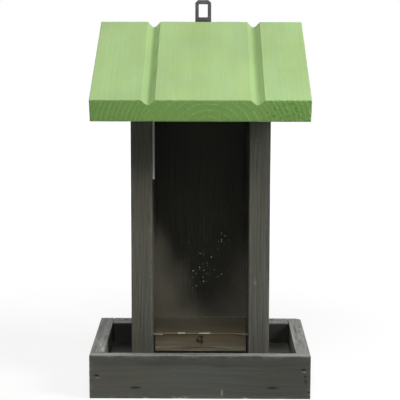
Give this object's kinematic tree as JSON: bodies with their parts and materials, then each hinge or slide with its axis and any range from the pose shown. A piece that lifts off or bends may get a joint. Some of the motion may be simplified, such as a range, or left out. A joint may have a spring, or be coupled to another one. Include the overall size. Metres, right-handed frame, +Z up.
{
  "type": "silo bird feeder",
  "caption": "Wall-hung wooden silo bird feeder: a tray with low walls, posts holding a clear pane, a sloping seed board and a hinged, grooved roof board.",
  "frame": {"origin": "middle of the tray's underside", "axes": "+Z up, +X to the right as seen from the front, the front faces -Y"},
  "size_m": [0.175, 0.1401, 0.3116],
  "materials": {
    "grey_stained_pine": "grey stain, matt, grain showing",
    "green_stained_pine": "light green stain, matt, grain showing",
    "raw_plywood": "raw",
    "clear_acrylic": "clear, polished",
    "dark_zinc": "dark zinc plate",
    "bright_zinc": "zinc plated",
    "fastener_steel": "zinc plated",
    "dark_steel": "blackened wire, dull"
  },
  "bodies": {
    "feeder": {"tray_floor": "grey_stained_pine", "tray_front_wall": "grey_stained_pine", "tray_back_wall": "grey_stained_pine", "tray_side_wall_left": "grey_stained_pine", "tray_side_wall_right": "grey_stained_pine", "side_post_left": "grey_stained_pine", "side_post_right": "grey_stained_pine", "back_panel": "grey_stained_pine", "seed_board": "raw_plywood", "hanger_plate": "dark_zinc", "hinge_fixed_leaf_left": "bright_zinc", "hinge_fixed_leaf_right": "bright_zinc", "hinge_pin_left": "bright_zinc", "hinge_pin_right": "bright_zinc", "front_wall_staples": "dark_steel", "side_wall_staples": "dark_steel", "back_wall_staples": "dark_steel", "front_corner_brads": "dark_steel", "seed_board_brads": "dark_steel", "post_screws": "fastener_steel", "back_panel_screws": "fastener_steel", "pane_rest_pins": "fastener_steel", "hinge_panel_screws": "fastener_steel", "hanger_screws": "fastener_steel"},
    "roof": {"roof_board": "green_stained_pine", "hinge_roof_leaf_left": "bright_zinc", "hinge_roof_leaf_right": "bright_zinc", "hinge_roof_screws": "fastener_steel"},
    "pane": {"front_pane": "clear_acrylic"}
  },
  "joints": [
    {"name": "roof_hinge", "type": "hinge", "parent": "feeder", "child": "roof", "pos_m": [0, 0.0619, 0.29118], "axis": [-1, 0, 0], "range_deg": [0, 75]},
    {"name": "pane_lift", "type": "slide", "parent": "feeder", "child": "pane", "axis": [0, 0, 1], "range_m": [0, 0.006]}
  ]
}
